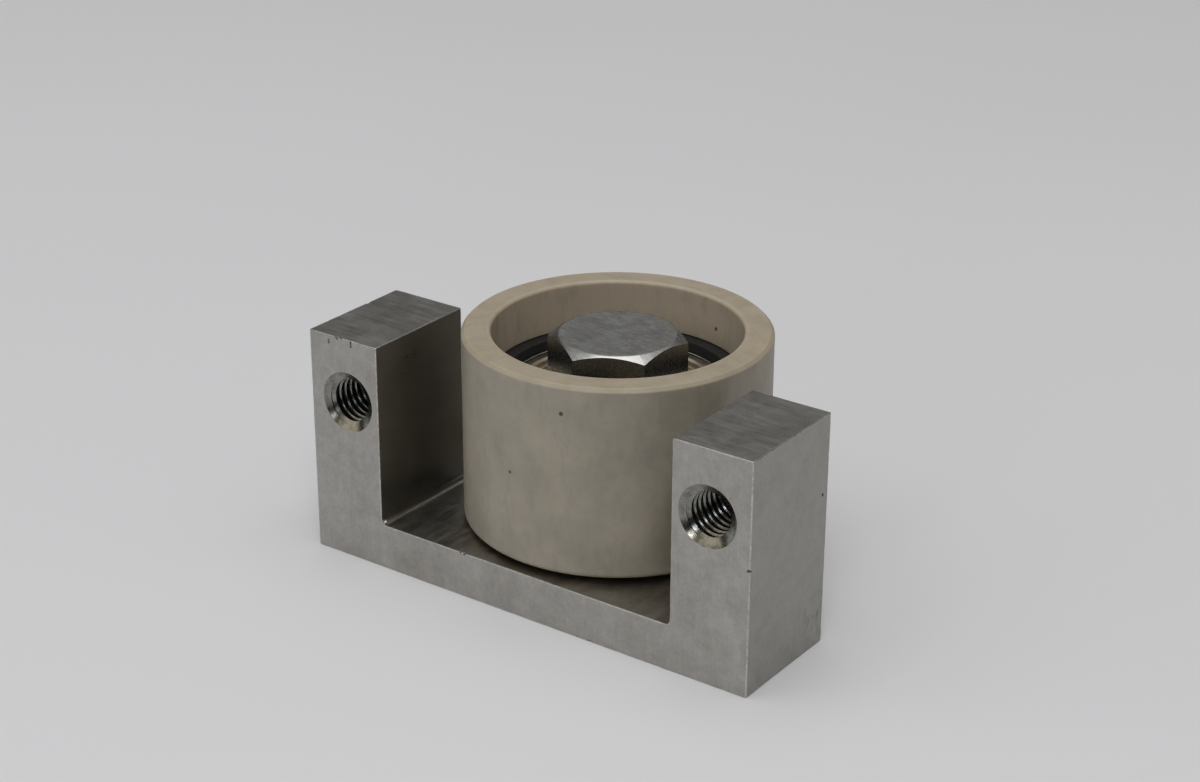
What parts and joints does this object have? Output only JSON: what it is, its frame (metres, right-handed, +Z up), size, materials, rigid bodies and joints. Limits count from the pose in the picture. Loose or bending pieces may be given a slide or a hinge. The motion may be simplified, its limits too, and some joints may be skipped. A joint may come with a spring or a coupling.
{
  "type": "cam follower",
  "caption": "U-shaped steel bracket with tapped holes in its arms, carrying a plastic-tyred roller on a shielded ball bearing and a hex bolt, upright axis behind the arms.",
  "frame": {"origin": "on the bracket's bottom face, midway between the arms and midway through the arms' depth", "axes": "+X along the bracket, +Z up along the arms and the roller's axis, -Y out of the front face and the tapped holes' mouths"},
  "size_m": [0.1, 0.0605, 0.0483],
  "materials": {
    "bracket_steel": "satin machined",
    "roller_plastic": "matt, slightly worn",
    "bolt_steel": "satin, forged",
    "turned_steel": "turned",
    "bearing_steel": "ground",
    "ball_steel": "polished",
    "cage_plastic": "moulded",
    "shield_steel": "pressed sheet",
    "blackened_steel": "phosphated"
  },
  "bodies": {
    "frame": {"bracket": "bracket_steel", "axle_bolt": "bolt_steel", "bearing_sleeve": "turned_steel", "base_spacer": "turned_steel", "bearing_inner_ring": "bearing_steel"},
    "roller": {"roller": "roller_plastic", "bearing_outer_ring": "bearing_steel", "upper_shield": "shield_steel", "lower_shield": "shield_steel", "upper_retaining_ring": "blackened_steel", "lower_retaining_ring": "blackened_steel"},
    "upper_ball_set": {"upper_balls": "ball_steel", "upper_cage": "cage_plastic"},
    "lower_ball_set": {"lower_balls": "ball_steel", "lower_cage": "cage_plastic"}
  },
  "joints": [
    {"name": "roller_spin", "type": "hinge", "parent": "frame", "child": "roller", "pos_m": [0, 0.0182, 0.0293], "axis": [0, 0, 1], "continuous": true},
    {"name": "upper_cage_spin", "type": "hinge", "parent": "frame", "child": "upper_ball_set", "pos_m": [0, 0.0182, 0.03105], "axis": [0, 0, 1], "continuous": true},
    {"name": "lower_cage_spin", "type": "hinge", "parent": "frame", "child": "lower_ball_set", "pos_m": [0, 0.0182, 0.02205], "axis": [0, 0, 1], "continuous": true}
  ],
  "couplings": [
    {"joint": "upper_cage_spin", "follows": "roller_spin", "ratio": 0.6021},
    {"joint": "lower_cage_spin", "follows": "roller_spin", "ratio": 0.6021}
  ]
}
